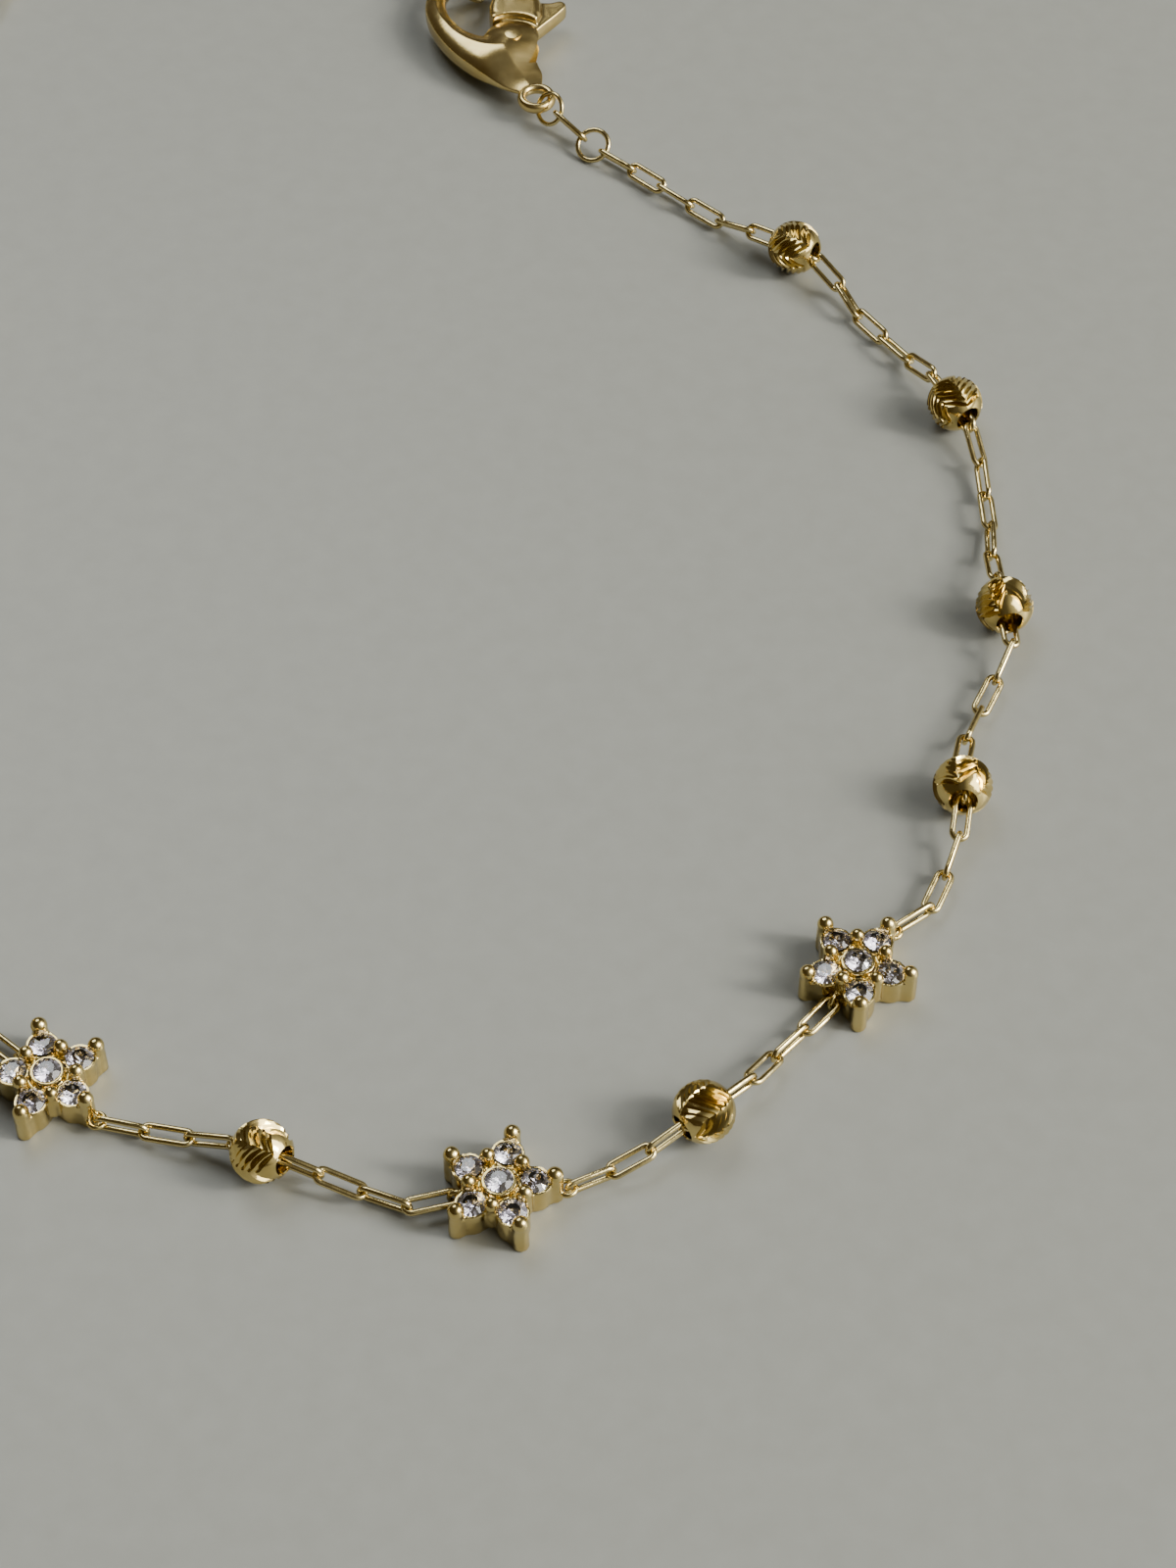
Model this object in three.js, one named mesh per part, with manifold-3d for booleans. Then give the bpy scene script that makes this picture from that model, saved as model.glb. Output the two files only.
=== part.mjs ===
// Fine cable-chain bracelet with stone-set star stations, diamond-cut round beads and a lobster
// clasp, lying fastened on a flat surface. Millimetres, +Z up, the surface at z = 0.

import * as THREE from 'three';
import { mergeVertices } from 'three/addons/utils/BufferGeometryUtils.js';
import ManifoldLibrary from 'manifold-3d';

const library = await ManifoldLibrary();
library.setup();

// ---------------------------------------------------------------- driving dimensions

const LINK = { pitch: 1.84, width: 0.86, wire: 0.23, pathSides: 10, wireSides: 5, blunt: 1.4 };
const LINK_BITE = 0.018; // how far neighbouring links sink into each other, so a run is one body
const JOIN_RING = { width: 1.8, wire: 0.22 }; // the rounder ring one link away from the clasp
const LIE_HEIGHT = 0.49; // centre of the chain where it lies on the surface
const DROP_LENGTH = 3.0; // plan length over which the chain comes down from a bead, if it has it
const ROLL_WOBBLE = 3; // degrees that links stray from an even quarter turn each

const BEAD = { radius: 1.25, bore: 0.6, straight: 1.35, sag: 0.06, sides: 10 };
const BEAD_RING_ANGLES = [-31, 0, 31]; // degrees off the equator of the facet rings

const STAR = {
  arms: 5,
  tipRadius: 2.17, tipRound: 0.3, // the round column at the end of each arm
  shoulderX: 1.4, shoulderY: 0.7, notchRadius: 1.3,
  wallHeight: 1.15,
  collarRadius: 0.72, collarHeight: 1.4,
};
const PRONG = { outerRadius: 0.27, innerRadius: 0.24, innerAt: 1.14, shoulder: 1.58, top: 1.8, sides: 6 };
const PRONG_FOOT = 1.0; // prongs start inside the setting's wall
const STONE = { radius: 0.52, armAt: 1.36, table: 0.58, crown: 0.16, pavilion: 0.44, sides: 8 };
const STONE_LIFT = 0.07; // girdle above the rim that its seat is cut in
const SEAT = { rim: 0.5, depth: 0.5 };
const EYE = { radius: 0.33, wire: 0.22, height: 0.5, sides: 8 };
const TIP_EYE_AT = 2.6; // distance of each eye's centre from the middle of the star
const NOTCH_EYE_AT = 1.6;
const EYE_GRIP = 0.12; // from an eye's centre to the point that the chain pulls from

const CLASP = { x: -2.52, y: 41.85, heading: 114, thickness: 2.0, middle: 1.0 };
const CLASP_TAIL = { radius: 0.95, hole: 0.52 };
const PIVOT = { u: 3.9, v: -0.45, pin: 0.3, bore: 0.38, boss: 0.8, cheek: 1.6, slot: 1.8 };
const LEVER = { slotGap: 0.9, plate: 0.8, gate: 1.5, gateRoot: 1.7 };
const TAIL_RING = { radius: 0.75, wire: 0.22, reach: 1.0, height: 1.0, roll: 55, grip: 0.555 };
const END_RING = { radius: 1.25, wire: 0.32, reach: 9.5, height: 1.05, roll: 42, grip: 1.0 };
const RING_SIDES = { path: 12, wire: 6 };

// Middle of the laid-out bracelet's box in plan, which becomes the origin.
const BOX_CENTRE = { x: -6.1, y: 16.59 };

// The lay of the chain, from the clasp's tail round to the ring in its hook: one row per station.
// heading is the direction of travel and tilt its rise, in degrees. A row with no heading runs
// in line with its neighbours.
const STARS = [
  { name: '1', x: 10.74, y: -10.04, heading: 233.4 },
  { name: '2', x: -3.38, y: -20.22, heading: 185.1 },
  { name: '3', x: -21.01, y: -15.25, heading: 139.6 },
];
const TAIL_DIRECTION = -48.9; // from the clasp's tail eye into the chain
const HOOK_DIRECTION = -48; // from the chain into the ring in the clasp's hook
const RUNS = [
  {
    name: 'chain_1', firstRoll: -60, lastRoll: 90, ringAt: 1,
    stations: [
      { kind: 'clasp_tail' },
      { kind: 'lie', x: 2.84, y: 36.68 },
      { kind: 'lie', x: 6.31, y: 33.6 },
      { kind: 'bead', x: 9.71, y: 31.04, heading: -36, tilt: 0 },
      { kind: 'lie', x: 12.55, y: 27.33 },
      { kind: 'bead', x: 16.59, y: 20.89, heading: -66, tilt: 0 },
      { kind: 'lie', x: 17.71, y: 15.7 },
      { kind: 'bead', x: 17.96, y: 8.81, heading: -82, tilt: 0 },
      { kind: 'lie', x: 16.61, y: 3.6 },
      { kind: 'bead', x: 15.51, y: -1.05, heading: -90, tilt: 8 },
      { kind: 'lie', x: 14.75, y: -4.53 },
      { kind: 'lie', x: 13.92, y: -6.7 },
      { kind: 'star_tip', star: 0 },
    ],
  },
  {
    name: 'chain_2', firstRoll: 0, lastRoll: 90,
    stations: [
      { kind: 'star_notch', star: 0 },
      { kind: 'lie', x: 7.61, y: -13.68 },
      { kind: 'bead', x: 4.47, y: -17.01, heading: 218, tilt: 0 },
      { kind: 'lie', x: 1.03, y: -19.19 },
      { kind: 'star_tip', star: 1 },
    ],
  },
  {
    name: 'chain_3', firstRoll: 0, lastRoll: 90,
    stations: [
      { kind: 'star_notch', star: 1 },
      { kind: 'lie', x: -6.81, y: -20.83 },
      { kind: 'lie', x: -9.37, y: -19.81 },
      { kind: 'bead', x: -12.47, y: -18.81, heading: 156, tilt: -6 },
      { kind: 'lie', x: -16.09, y: -17.6 },
      { kind: 'star_tip', star: 2 },
    ],
  },
  {
    name: 'chain_4', firstRoll: 0, lastRoll: -25,
    stations: [
      { kind: 'star_notch', star: 2 },
      { kind: 'bead', x: -27.4, y: -7.9, heading: 113, tilt: 0 },
      { kind: 'bead', x: -28.6, y: 2.8, heading: 93, tilt: 0 },
      { kind: 'bead', x: -29.2, y: 15.1, heading: 93, tilt: 0 },
      { kind: 'bead', x: -29.9, y: 27.5, heading: 93, tilt: 0 },
      { kind: 'lie', x: -30.8, y: 46.2 },
      { kind: 'lie', x: -28.2, y: 52.6 },
      { kind: 'lie', x: -18.6, y: 55.3 },
      { kind: 'clasp_hook' },
    ],
  },
];

// ---------------------------------------------------------------- materials

const gold = (name, color) => {
  const material = new THREE.MeshStandardMaterial({ color, metalness: 1.0, roughness: 0.25 });
  material.name = name;
  return material;
};
const crystal = () => {
  const material = new THREE.MeshStandardMaterial({ color: 0xe4dfe8, metalness: 0.0, roughness: 0.05 });
  material.name = 'stone';
  return material;
};

// ---------------------------------------------------------------- solids

const radians = THREE.MathUtils.degToRad;

function toSolid(geometry) {
  const bare = (geometry.index ? geometry.toNonIndexed() : geometry).clone();
  bare.deleteAttribute('normal');
  bare.deleteAttribute('uv');
  const merged = mergeVertices(bare, 1e-5);
  return new library.Manifold(new library.Mesh({
    numProp: 3,
    vertProperties: new Float32Array(merged.attributes.position.array),
    triVerts: new Uint32Array(merged.index.array),
  }));
}

function toGeometry(solid) {
  const mesh = solid.getMesh();
  const geometry = new THREE.BufferGeometry();
  geometry.setAttribute('position', new THREE.BufferAttribute(mesh.vertProperties, 3));
  geometry.setIndex(new THREE.BufferAttribute(mesh.triVerts, 1));
  geometry.computeVertexNormals();
  return geometry;
}

function join(solids) {
  return solids.reduce((whole, next) => whole.add(next));
}

function namedMesh(name, geometry, material) {
  const mesh = new THREE.Mesh(geometry, material);
  mesh.name = name;
  return mesh;
}

// A lathe turns about Y; this stands it up about Z.
function turned(profile, sides) {
  const points = profile.map(([radius, height]) => new THREE.Vector2(radius, height));
  return new THREE.LatheGeometry(points, sides).rotateX(Math.PI / 2);
}

function plate(shape, middle, thickness, bevel = 0) {
  const geometry = new THREE.ExtrudeGeometry(shape, {
    depth: thickness - 2 * bevel, steps: 1, bevelEnabled: bevel > 0,
    bevelThickness: bevel, bevelSize: bevel, bevelOffset: -bevel, bevelSegments: 1,
  });
  return geometry.translate(0, 0, middle - thickness / 2 + bevel);
}

// ---------------------------------------------------------------- lay of the chain

function direction(heading, tilt = 0) {
  const level = Math.cos(radians(tilt));
  return new THREE.Vector3(
    Math.cos(radians(heading)) * level, Math.sin(radians(heading)) * level, Math.sin(radians(tilt)));
}

const CLASP_TAIL_POINT = new THREE.Vector3(CLASP.x, CLASP.y, TAIL_RING.height);
const CLASP_AXIS = direction(CLASP.heading);
const END_RING_CENTRE = new THREE.Vector3(CLASP.x, CLASP.y, END_RING.height)
  .addScaledVector(CLASP_AXIS, END_RING.reach);

// Gives each station the point where the chain comes in, the point where it goes out and its line.
function settle(station, before, after) {
  const { kind } = station;
  if (kind === 'clasp_tail') {
    const line = direction(TAIL_DIRECTION);
    const point = CLASP_TAIL_POINT.clone().addScaledVector(line, TAIL_RING.reach + TAIL_RING.grip);
    return { in: point, out: point, line };
  }
  if (kind === 'clasp_hook') {
    const point = END_RING_CENTRE.clone().addScaledVector(direction(HOOK_DIRECTION), -END_RING.grip);
    return { in: point, out: point, line: direction(HOOK_DIRECTION) };
  }
  if (kind === 'star_tip' || kind === 'star_notch') {
    const star = STARS[station.star];
    const line = direction(star.heading);
    const reach = kind === 'star_tip' ? -(TIP_EYE_AT + EYE_GRIP) : NOTCH_EYE_AT + EYE_GRIP;
    const point = new THREE.Vector3(star.x, star.y, EYE.height).addScaledVector(line, reach);
    return { in: point, out: point, line };
  }
  if (kind === 'bead') {
    const line = direction(station.heading, station.tilt);
    const centre = new THREE.Vector3(station.x, station.y, BEAD.radius - BEAD.sag);
    return {
      in: centre.clone().addScaledVector(line, -BEAD.straight),
      out: centre.clone().addScaledVector(line, BEAD.straight),
      line,
    };
  }
  const point = new THREE.Vector3(station.x, station.y, LIE_HEIGHT);
  const heading = Math.atan2(after.y - before.y, after.x - before.x);
  return { in: point, out: point, line: direction(THREE.MathUtils.radToDeg(heading)) };
}

// Where a station stands in plan, for the rows that run in line with their neighbours.
function standing(station) {
  if (station.kind === 'clasp_tail' || station.kind === 'clasp_hook') return settle(station).in;
  return station.kind.startsWith('star') ? STARS[station.star] : station;
}

// 1 at a station, easing to 0 a drop away from it.
function nearness(distance, drop) {
  const t = Math.min(distance / drop, 1);
  return 1 - t * t * (3 - 2 * t);
}

// A Bezier stretch in plan; in height it comes down to the surface between its two ends.
function stretch(from, to, steps = 60) {
  const plan = Math.hypot(to.in.x - from.out.x, to.in.y - from.out.y);
  const flat = (line) => new THREE.Vector3(line.x, line.y, 0).multiplyScalar(plan * 0.36);
  const curve = new THREE.CubicBezierCurve3(
    from.out, from.out.clone().add(flat(from.line)), to.in.clone().sub(flat(to.line)), to.in);
  const drop = Math.min(DROP_LENGTH, plan);
  const points = [];
  for (let i = 0; i <= steps; i += 1) {
    const t = i / steps;
    const point = curve.getPoint(t);
    point.z = LIE_HEIGHT + (from.out.z - LIE_HEIGHT) * nearness(t * plan, drop)
      + (to.in.z - LIE_HEIGHT) * nearness((1 - t) * plan, drop);
    points.push(point);
  }
  return points;
}

function layRoute(stations) {
  const last = stations.length - 1;
  const near = (i) => standing(stations[Math.min(Math.max(i, 0), last)]);
  const settled = stations.map((station, i) => settle(station, near(i - 1), near(i + 1)));
  return settled.slice(1).flatMap((station, i) => stretch(settled[i], station));
}

// The points on the route that each link runs between, a pitch apart.
function stepAlong(route, pitches) {
  const reach = [0];
  for (let i = 1; i < route.length; i += 1) {
    reach.push(reach[i - 1] + route[i].distanceTo(route[i - 1]));
  }
  const scale = reach[reach.length - 1] / pitches.reduce((sum, pitch) => sum + pitch, 0);
  const points = [route[0]];
  let travelled = 0;
  let at = 1;
  for (const pitch of pitches) {
    travelled += pitch * scale;
    while (at < route.length - 1 && reach[at] < travelled) at += 1;
    const share = (travelled - reach[at - 1]) / (reach[at] - reach[at - 1]);
    points.push(route[at - 1].clone().lerp(route[at], share));
  }
  return points;
}

// ---------------------------------------------------------------- chain

// A ring with a sharp inner edge, pulled out along X so that its halves are the link's ends, which
// are blunted so that neighbours cross on straight wire. The reach is the length inside the wire;
// the width lies along Y.
function linkGeometry(reach, width, wire) {
  const half = Math.PI / LINK.pathSides;
  const thick = wire / 2;
  const bend = width / 2 - thick * Math.cos(Math.PI / LINK.wireSides);
  const section = Array.from({ length: LINK.wireSides + 1 }, (_, i) => {
    const angle = Math.PI + i * 2 * Math.PI / LINK.wireSides;
    return new THREE.Vector2(bend + thick * Math.cos(angle), thick * Math.sin(angle));
  });
  const geometry = new THREE.LatheGeometry(section, LINK.pathSides, Math.PI / 2 + half);
  geometry.rotateX(Math.PI / 2);
  const pull = reach / 2 - (bend - thick) * Math.cos(half);
  const position = geometry.attributes.position;
  for (let i = 0; i < position.count; i += 1) {
    const x = position.getX(i);
    const y = position.getY(i);
    const side = THREE.MathUtils.clamp(x / (bend * 0.3), -1, 1);
    position.setXY(i, x + side * pull, Math.abs(y) < Math.abs(x) ? y * LINK.blunt : y);
  }
  return geometry;
}

// Frame with X along the link and Y across its width, rolled about X from lying flat.
function linkFrame(from, to, roll) {
  const along = to.clone().sub(from).normalize();
  const side = new THREE.Vector3(0, 0, 1).cross(along).normalize();
  const up = along.clone().cross(side);
  const across = side.multiplyScalar(Math.cos(radians(roll))).addScaledVector(up, Math.sin(radians(roll)));
  const frame = new THREE.Matrix4().makeBasis(along, across, along.clone().cross(across));
  return frame.setPosition(from.clone().add(to).multiplyScalar(0.5));
}

// Links turn a quarter each; the run's twist is shared out so that its last link lies as told.
function linkRolls(run, count) {
  const even = run.lastRoll - run.firstRoll - 90 * (count - 1);
  const twist = ((even % 180) + 270) % 180 - 90;
  return Array.from({ length: count }, (_, i) => {
    const ends = Math.sin(Math.PI * i / (count - 1));
    return run.firstRoll + i * (90 + twist / (count - 1)) + ROLL_WOBBLE * Math.sin(1.7 * i) * ends;
  });
}

function chainRun(run) {
  const route = layRoute(run.stations);
  const length = route.slice(1).reduce((sum, point, i) => sum + point.distanceTo(route[i]), 0);
  const ringPitch = JOIN_RING.width - 2 * JOIN_RING.wire + LINK_BITE;
  const ringed = run.ringAt !== undefined;
  const links = Math.round((length - (ringed ? ringPitch : 0)) / LINK.pitch);
  const pitches = new Array(links).fill(LINK.pitch);
  if (ringed) pitches.splice(run.ringAt, 0, ringPitch);
  const points = stepAlong(route, pitches);
  const rolls = linkRolls(run, pitches.length);
  const solids = pitches.map((_, i) => {
    const style = ringed && i === run.ringAt ? JOIN_RING : LINK;
    const reach = points[i].distanceTo(points[i + 1]) - LINK_BITE;
    const link = linkGeometry(reach, style.width, style.wire);
    return toSolid(link.applyMatrix4(linkFrame(points[i], points[i + 1], rolls[i])));
  });
  return namedMesh(run.name, toGeometry(join(solids)), gold('chain_gold', 0xc9a24e));
}

function ring(name, { radius, wire, roll }, centre, line) {
  const geometry = new THREE.TorusGeometry(radius, wire / 2, RING_SIDES.wire, RING_SIDES.path);
  const half = line.clone().multiplyScalar(radius);
  geometry.applyMatrix4(linkFrame(centre.clone().sub(half), centre.clone().add(half), roll));
  return namedMesh(name, geometry, gold('ring_gold', 0xc9a24e));
}

// ---------------------------------------------------------------- beads

// A drilled ball whose rings of facets are each turned half a facet from the last.
function beadGeometry() {
  const rim = Math.sqrt(BEAD.radius ** 2 - BEAD.bore ** 2);
  const rings = BEAD_RING_ANGLES.map((angle) => [
    BEAD.radius * Math.cos(radians(angle)), BEAD.radius * Math.sin(radians(angle))]);
  const profile = [[BEAD.bore, -rim], ...rings, [BEAD.bore, rim], [BEAD.bore, -rim]];
  const points = profile.map(([radius, height]) => new THREE.Vector2(radius, height));
  const geometry = new THREE.LatheGeometry(points, BEAD.sides);
  const position = geometry.attributes.position;
  const half = new THREE.Matrix4().makeRotationY(Math.PI / BEAD.sides);
  const vertex = new THREE.Vector3();
  for (let i = 0; i < position.count; i += 1) {
    const row = i % profile.length;
    if (row >= 1 && row <= rings.length && row % 2 === 1) {
      vertex.fromBufferAttribute(position, i).applyMatrix4(half);
      position.setXYZ(i, vertex.x, vertex.y, vertex.z);
    }
  }
  return geometry.rotateZ(-Math.PI / 2); // the bore runs along X
}

function bead(name, station) {
  const line = direction(station.heading, station.tilt);
  const centre = new THREE.Vector3(station.x, station.y, BEAD.radius);
  const place = linkFrame(centre.clone().sub(line), centre.clone().add(line), 0);
  const geometry = beadGeometry().applyMatrix4(place);
  return namedMesh(name, toGeometry(toSolid(geometry)), gold('bead_gold', 0xc8a046));
}

// ---------------------------------------------------------------- stars

// The first arm points back along -X, so that +X comes out over a notch.
function armTurn(arm) {
  return Math.PI + arm * 2 * Math.PI / STAR.arms;
}

function starShape() {
  const shape = new THREE.Shape();
  const corner = (x, y, turn, first) => {
    const px = x * Math.cos(turn) - y * Math.sin(turn);
    const py = x * Math.sin(turn) + y * Math.cos(turn);
    if (first) shape.moveTo(px, py);
    else shape.lineTo(px, py);
  };
  for (let arm = 0; arm < STAR.arms; arm += 1) {
    const turn = armTurn(arm);
    const round = STAR.tipRound;
    corner(STAR.shoulderX, -STAR.shoulderY, turn, arm === 0);
    corner(STAR.tipRadius + round / 2, -round * 0.87, turn);
    corner(STAR.tipRadius + round, 0, turn);
    corner(STAR.tipRadius + round / 2, round * 0.87, turn);
    corner(STAR.shoulderX, STAR.shoulderY, turn);
    corner(STAR.notchRadius, 0, turn + Math.PI / STAR.arms);
  }
  shape.closePath();
  return shape;
}

function prong(radius, distance, turn) {
  const profile = [[0, PRONG_FOOT], [radius, PRONG_FOOT], [radius, PRONG.shoulder], [0, PRONG.top]];
  return toSolid(turned(profile, PRONG.sides).translate(distance, 0, 0).rotateZ(turn));
}

function seat(distance, turn, rimHeight) {
  const above = 0.02;
  const slope = SEAT.rim / SEAT.depth;
  const cone = turned(
    [[0, rimHeight - SEAT.depth], [SEAT.rim + slope * above, rimHeight + above], [0, rimHeight + above]],
    STONE.sides);
  return toSolid(cone.translate(distance, 0, 0).rotateZ(turn));
}

function eye(distance, turn, upright) {
  const torus = new THREE.TorusGeometry(EYE.radius, EYE.wire / 2, 5, EYE.sides);
  if (upright) torus.rotateX(Math.PI / 2);
  return toSolid(torus.translate(distance, 0, EYE.height).rotateZ(turn));
}

function settingGeometry() {
  const turns = Array.from({ length: STAR.arms }, (_, arm) => armTurn(arm));
  const collar = turned([[0, PRONG_FOOT], [STAR.collarRadius, PRONG_FOOT],
    [STAR.collarRadius, STAR.collarHeight], [0, STAR.collarHeight]], 10);
  const metal = join([
    toSolid(plate(starShape(), STAR.wallHeight / 2, STAR.wallHeight)),
    toSolid(collar),
    ...turns.map((turn) => prong(PRONG.outerRadius, STAR.tipRadius, turn)),
    ...turns.map((turn) => prong(PRONG.innerRadius, PRONG.innerAt, turn + Math.PI / STAR.arms)),
    eye(TIP_EYE_AT, Math.PI, false),
    eye(NOTCH_EYE_AT, 0, true),
  ]);
  const seats = join([
    seat(0, 0, STAR.collarHeight),
    ...turns.map((turn) => seat(STONE.armAt, turn, STAR.wallHeight)),
  ]);
  return toGeometry(metal.subtract(seats));
}

// A round brilliant: flat table, sloping crown, sharp girdle and a pointed pavilion.
function stoneGeometry() {
  const profile = [[0, -STONE.pavilion], [STONE.radius, 0], [STONE.radius * STONE.table, STONE.crown],
    [0, STONE.crown]];
  return toGeometry(toSolid(turned(profile, STONE.sides)));
}

// Star in its own frame: the chain leaves along +X, over a notch, and comes in at the arm on -X.
function star({ name, x, y, heading }) {
  const group = new THREE.Group();
  group.position.set(x, y, 0);
  group.rotation.z = radians(heading);
  const setting = namedMesh(`star_${name}_setting`, settingGeometry(), gold('setting_gold', 0xcaa755));
  group.add(setting);
  const centre = namedMesh(`star_${name}_centre_stone`, stoneGeometry(), crystal());
  centre.position.z = STAR.collarHeight + STONE_LIFT;
  group.add(centre);
  for (let arm = 0; arm < STAR.arms; arm += 1) {
    const stone = namedMesh(`star_${name}_arm_stone_${arm + 1}`, stoneGeometry(), crystal());
    const turn = armTurn(arm);
    stone.position.set(
      STONE.armAt * Math.cos(turn), STONE.armAt * Math.sin(turn), STAR.wallHeight + STONE_LIFT);
    stone.rotation.z = turn;
    group.add(stone);
  }
  return group;
}

// ---------------------------------------------------------------- clasp

const vectors = (pairs) => pairs.map(([u, v]) => new THREE.Vector2(u, v));
const curved = (pairs, steps) => new THREE.SplineCurve(vectors(pairs)).getPoints(steps);

function arc(u, v, radius, from, to, steps) {
  return Array.from({ length: steps + 1 }, (_, i) => {
    const angle = radians(from + (to - from) * i / steps);
    return new THREE.Vector2(u + radius * Math.cos(angle), v + radius * Math.sin(angle));
  });
}

// The body's half thickness swells from the tail to the waist and thins again at the hook's bow.
function swell(u) {
  const waist = THREE.MathUtils.smoothstep(u, 0.8, 3.4);
  const bow = THREE.MathUtils.smoothstep(u, 6.4, 9.6);
  return THREE.MathUtils.lerp(0.28, 1, waist) * THREE.MathUtils.lerp(1, 0.55, bow);
}

function claspBodyShape() {
  return new THREE.Shape([
    ...arc(0, 0, CLASP_TAIL.radius, 55, 305, 9),
    ...curved([[1.4, -0.93], [2.2, -1.02], [3.1, -1.5], [3.75, -1.88]], 4),
    ...arc(PIVOT.u, PIVOT.v, PIVOT.cheek, -75, 50, 6),
    ...curved([[5.3, 1.15], [6.0, 1.5], [7.2, 1.65], [8.5, 1.25], [9.25, 0.15], [8.95, -0.95],
      [8.45, -1.2], [7.89, -1.15]], 11),
    ...curved([[7.2, -2.8], [8.5, -2.45], [9.6, -1.5], [10.1, 0.0], [9.75, 1.35], [8.5, 2.4],
      [6.8, 2.8], [4.8, 2.65], [3.1, 2.1], [1.9, 1.5], [1.2, 1.08]], 15),
  ]);
}

function cylinderAt(u, v, radius, thickness, sides) {
  const half = thickness / 2;
  return toSolid(turned([[0, -half], [radius, -half], [radius, half], [0, half]], sides)
    .translate(u, v, CLASP.middle));
}

function claspBodyGeometry() {
  const outline = plate(claspBodyShape(), CLASP.middle, CLASP.thickness, 0.3);
  const position = outline.attributes.position;
  for (let i = 0; i < position.count; i += 1) {
    const offset = position.getZ(i) - CLASP.middle;
    position.setZ(i, CLASP.middle + offset * swell(position.getX(i)));
  }
  return toGeometry(toSolid(outline)
    .subtract(cylinderAt(0, 0, CLASP_TAIL.hole, 3, 10))
    .subtract(cylinderAt(PIVOT.u, PIVOT.v, PIVOT.slot, LEVER.slotGap, 18))
    .add(cylinderAt(PIVOT.u, PIVOT.v, PIVOT.pin, 1.6, 10)));
}

function leverPlateShape() {
  return new THREE.Shape([
    ...arc(PIVOT.u, PIVOT.v, PIVOT.boss, 75, 250, 6),
    ...vectors([[4.25, -1.9], [4.6, -2.6]]),
    ...curved([[5.0, -3.4], [5.4, -4.0], [5.85, -3.9], [5.95, -3.3], [6.25, -2.7]], 6),
    ...vectors([[6.2, -1.6], [5.75, -0.6]]),
  ]);
}

function leverGateShape() {
  return new THREE.Shape([
    ...arc(PIVOT.u, PIVOT.v, LEVER.gateRoot, 14, -66, 4),
    ...vectors([[5.1, -2.5], [6.1, -2.85], [7.05, -2.74], [7.56, -1.85], [7.75, -1.1], [7.1, -0.6],
      [6.4, -0.2]]),
  ]);
}

function leverGeometry() {
  const gate = toSolid(plate(leverGateShape(), CLASP.middle, LEVER.gate, 0.2));
  const tab = toSolid(plate(leverPlateShape(), CLASP.middle, LEVER.plate));
  return toGeometry(gate.add(tab).subtract(cylinderAt(PIVOT.u, PIVOT.v, PIVOT.bore, 2, 10)));
}

// Clasp in its own frame: u from the tail eye to the bow of the hook, the lever on the -v side.
function clasp() {
  const group = new THREE.Group();
  group.position.set(CLASP.x, CLASP.y, 0);
  group.rotation.z = radians(CLASP.heading);
  group.add(namedMesh('clasp_body', claspBodyGeometry(), gold('clasp_gold', 0xc39a45)));
  group.add(namedMesh('clasp_lever', leverGeometry(), gold('clasp_gold', 0xc39a45)));
  return group;
}

// ---------------------------------------------------------------- bracelet

const bracelet = new THREE.Group();
bracelet.name = 'bracelet';
bracelet.position.set(BOX_CENTRE.x, BOX_CENTRE.y, 0).negate();
STARS.forEach((row) => bracelet.add(star(row)));
RUNS.forEach((run) => bracelet.add(chainRun(run)));
RUNS.flatMap((run) => run.stations).filter((station) => station.kind === 'bead').forEach((station, i) => {
  bracelet.add(bead(`bead_${String(i + 1).padStart(2, '0')}`, station));
});
bracelet.add(clasp());
const tailLine = direction(TAIL_DIRECTION);
const tailRingCentre = CLASP_TAIL_POINT.clone().addScaledVector(tailLine, TAIL_RING.reach);
bracelet.add(ring('tail_ring', TAIL_RING, tailRingCentre, tailLine));
bracelet.add(ring('end_ring', END_RING, END_RING_CENTRE, CLASP_AXIS));

export default bracelet;
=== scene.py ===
"""Star station chain bracelet, fastened and laid out on a pale table.

Run inside Blender as a script. It dresses the packed frame: links, grooved beads, cast star
settings, cut stones and the lobster clasp. Constants and tables are in millimetres and degrees, on
the plan of the table top, unless they say otherwise. A mesh goes into the frame, in metres, when it
becomes a piece.
"""

import math
import random
from math import cos, pi, radians, sin

import bmesh
import bpy
from bpy.props import FloatProperty, FloatVectorProperty, IntProperty, PointerProperty
from mathutils import Matrix, Vector, kdtree


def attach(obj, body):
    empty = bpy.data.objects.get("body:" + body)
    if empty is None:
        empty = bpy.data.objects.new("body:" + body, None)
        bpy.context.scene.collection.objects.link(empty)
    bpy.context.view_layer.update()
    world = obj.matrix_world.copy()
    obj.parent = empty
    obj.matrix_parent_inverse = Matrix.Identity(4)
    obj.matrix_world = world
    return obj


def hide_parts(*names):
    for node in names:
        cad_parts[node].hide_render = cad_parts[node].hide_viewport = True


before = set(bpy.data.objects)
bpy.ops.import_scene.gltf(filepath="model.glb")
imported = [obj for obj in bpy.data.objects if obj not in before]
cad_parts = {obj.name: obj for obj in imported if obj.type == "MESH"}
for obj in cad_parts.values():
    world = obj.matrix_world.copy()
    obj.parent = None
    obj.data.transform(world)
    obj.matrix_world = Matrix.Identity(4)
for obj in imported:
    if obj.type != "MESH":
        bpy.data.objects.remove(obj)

bl_info = {
    "name": "Star Station Bracelet",
    "version": (1, 0, 0),
    "blender": (4, 5, 0),
    "location": "View3D > Sidebar > Bracelet",
    "description": "Builds a chain bracelet with star stations, grooved beads and a lobster clasp",
    "category": "Object",
}

# From the plan, in millimetres, to the frame, in metres.
METRE = 0.001
BOX_CENTRE = Vector((-6.1, 16.59, 0.0))
TO_FRAME = Matrix.Scale(METRE, 4) @ Matrix.Translation(-BOX_CENTRE)

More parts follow.
